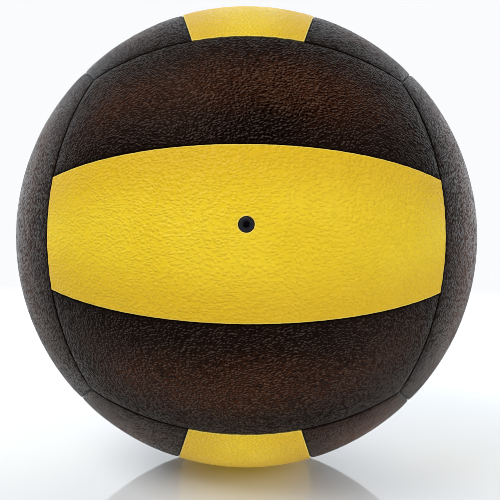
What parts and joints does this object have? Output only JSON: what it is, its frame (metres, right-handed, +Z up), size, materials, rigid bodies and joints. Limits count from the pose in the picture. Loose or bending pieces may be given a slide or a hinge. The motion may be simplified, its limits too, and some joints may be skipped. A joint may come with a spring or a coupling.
{
  "type": "medicine ball",
  "caption": "Weighted training ball with a sewn leather cover of yellow and dark brown strips, a rubber ballast, an air bladder and a needle valve that sits flush in the front strip.",
  "frame": {"origin": "centre of the ball", "axes": "-Y points out of the front face, which carries the valve, and +Z is up; the strips of the front face run along X"},
  "size_m": [0.24, 0.24, 0.24],
  "materials": {
    "leather_yellow": "satin",
    "leather_brown": "satin",
    "sewing_thread": "satin",
    "winding_yarn": "matte",
    "ballast_rubber": "matte",
    "joint_tape": "matte",
    "bladder_rubber": "matte",
    "valve_rubber": "satin",
    "insert_rubber": "satin"
  },
  "bodies": {
    "ball": {"panel_front_middle": "leather_yellow", "panel_front_upper": "leather_brown", "panel_front_lower": "leather_brown", "panel_back_middle": "leather_yellow", "panel_back_upper": "leather_brown", "panel_back_lower": "leather_brown", "panel_left_middle": "leather_yellow", "panel_left_front": "leather_brown", "panel_left_rear": "leather_brown", "panel_right_middle": "leather_yellow", "panel_right_front": "leather_brown", "panel_right_rear": "leather_brown", "panel_top_middle": "leather_yellow", "panel_top_left": "leather_brown", "panel_top_right": "leather_brown", "panel_bottom_middle": "leather_yellow", "panel_bottom_left": "leather_brown", "panel_bottom_right": "leather_brown", "thread_front_strips": "sewing_thread", "thread_back_strips": "sewing_thread", "thread_left_strips": "sewing_thread", "thread_right_strips": "sewing_thread", "thread_top_strips": "sewing_thread", "thread_bottom_strips": "sewing_thread", "thread_front_edges": "sewing_thread", "thread_side_edges": "sewing_thread", "thread_back_edges": "sewing_thread", "yarn_winding": "winding_yarn", "ballast_front": "ballast_rubber", "ballast_back": "ballast_rubber", "ballast_joint_tape": "joint_tape", "bladder": "bladder_rubber", "valve_patch": "bladder_rubber", "valve_housing": "valve_rubber"},
    "valve_insert": {"valve_insert": "insert_rubber"}
  },
  "joints": [
    {"name": "valve_insert_pull", "type": "slide", "parent": "ball", "child": "valve_insert", "axis": [0, -1, 0], "range_m": [0, 0.024]}
  ]
}
